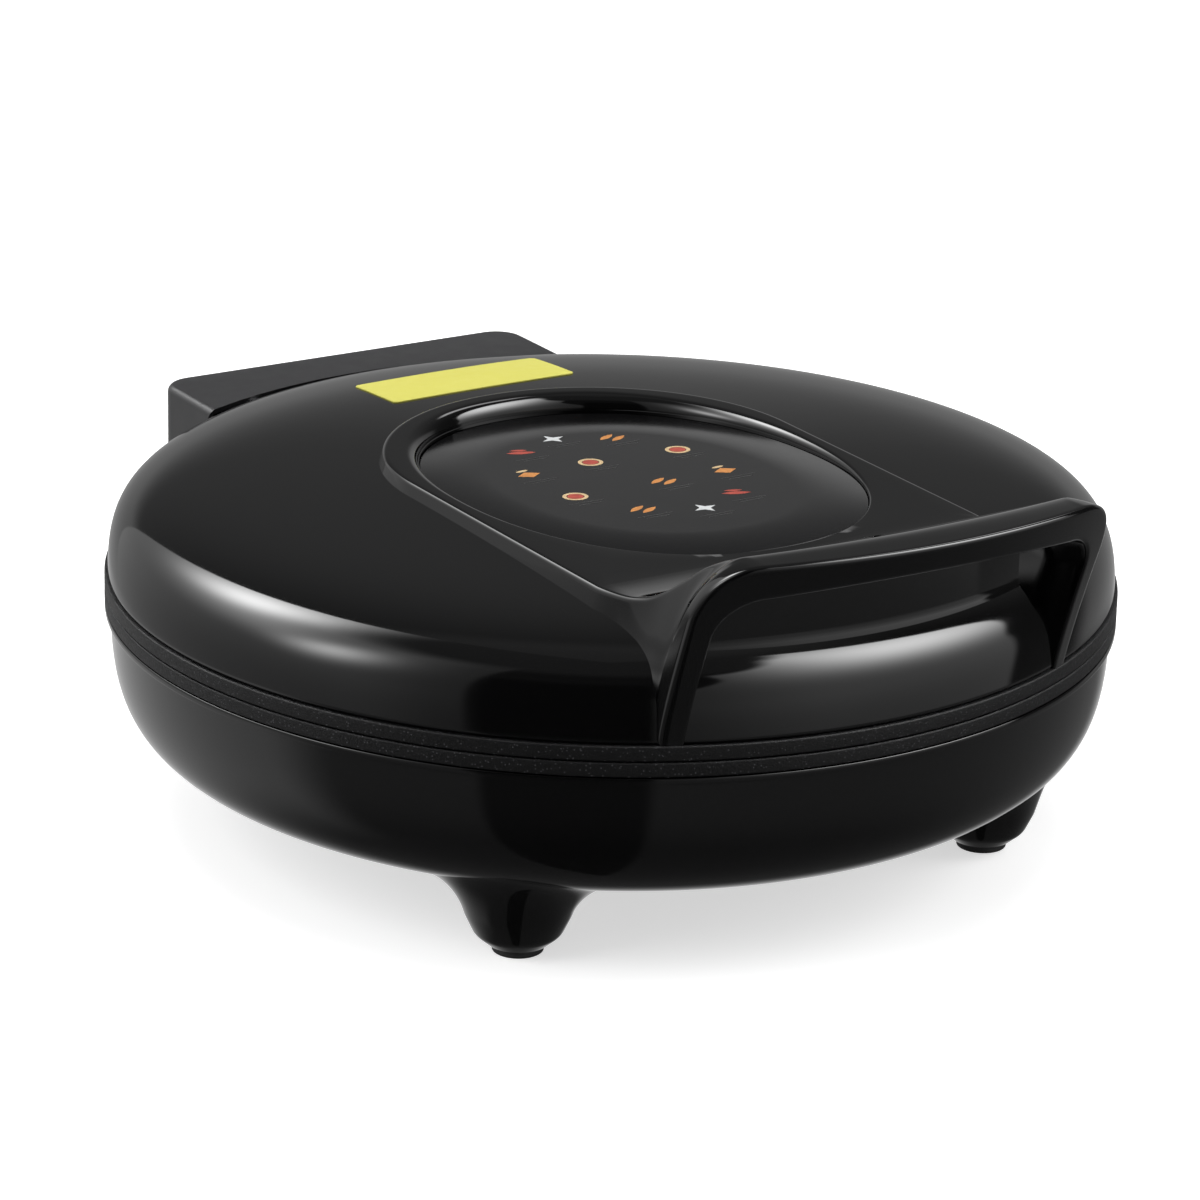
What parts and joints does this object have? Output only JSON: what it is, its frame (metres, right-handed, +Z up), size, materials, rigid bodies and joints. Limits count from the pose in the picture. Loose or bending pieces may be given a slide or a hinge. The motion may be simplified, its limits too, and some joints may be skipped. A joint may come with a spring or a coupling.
{
  "type": "electric_pizza_maker",
  "caption": "Round countertop electric pizza maker with a domed gloss black lid, portal handle, oval guide panel, non-stick plates and a floating rear hinge",
  "frame": {"origin": "The middle of the footprint, handle to rear box and side to side, on the table under the feet", "axes": "+Z is up from the table through the plates. -Y is the front, where the handle is. +Y is the rear, where the hinge box is. +X is the user's right, seen from the front."},
  "size_m": [0.3418, 0.3858, 0.1527],
  "materials": {
    "gloss_black": "moulded high-gloss black",
    "satin_black": "satin black",
    "non_stick": "cast, non-stick coated with a fine speckle",
    "panel_print": "gloss with small printed motifs",
    "sticker_yellow": "blank coated film",
    "pad_rubber": "moulded",
    "fixing_steel": "zinc plated",
    "aluminised": "aluminised sheet",
    "heater_sheath": "heat darkened",
    "ceramic": "unglazed pale body"
  },
  "bodies": {
    "base": {"base_shell": "gloss_black", "foot_pad_front_left": "pad_rubber", "foot_pad_front_right": "pad_rubber", "foot_pad_rear_left": "pad_rubber", "foot_pad_rear_right": "pad_rubber", "base_screw_left": "fixing_steel", "base_screw_right": "fixing_steel", "base_screw_front": "fixing_steel", "base_screw_rear": "fixing_steel", "lower_plate": "non_stick", "lower_heater": "heater_sheath", "lower_heat_shield": "aluminised", "lower_thermostat": "ceramic", "thermal_fuse": "ceramic", "terminal_block": "ceramic", "hinge_housing": "satin_black", "cord_gland": "pad_rubber", "hinge_bracket_left": "fixing_steel", "hinge_bracket_right": "fixing_steel", "bracket_screw_left": "fixing_steel", "bracket_screw_right": "fixing_steel"},
    "pin": {"hinge_pin": "fixing_steel"},
    "lid": {"upper_plate": "non_stick", "upper_heater": "heater_sheath", "upper_heat_shield": "aluminised", "upper_thermostat": "ceramic", "lid_shell": "gloss_black", "handle_frame": "gloss_black", "guide_panel": "panel_print", "blank_sticker": "sticker_yellow", "lid_screw_front_left": "fixing_steel", "lid_screw_front_right": "fixing_steel", "lid_screw_rear_left": "fixing_steel", "lid_screw_rear_right": "fixing_steel", "hinge_cover": "satin_black", "hinge_arm_left": "fixing_steel", "hinge_arm_right": "fixing_steel", "arm_screw_left": "fixing_steel", "arm_screw_right": "fixing_steel"}
  },
  "joints": [
    {"name": "lid_hinge", "type": "hinge", "parent": "base", "child": "pin", "pos_m": [0, 0.1848, 0.084], "axis": [-1, 0, 0], "range_deg": [0, 95]},
    {"name": "lid_float", "type": "slide", "parent": "pin", "child": "lid", "axis": [0, 0, 1], "range_m": [0, 0.008]}
  ]
}
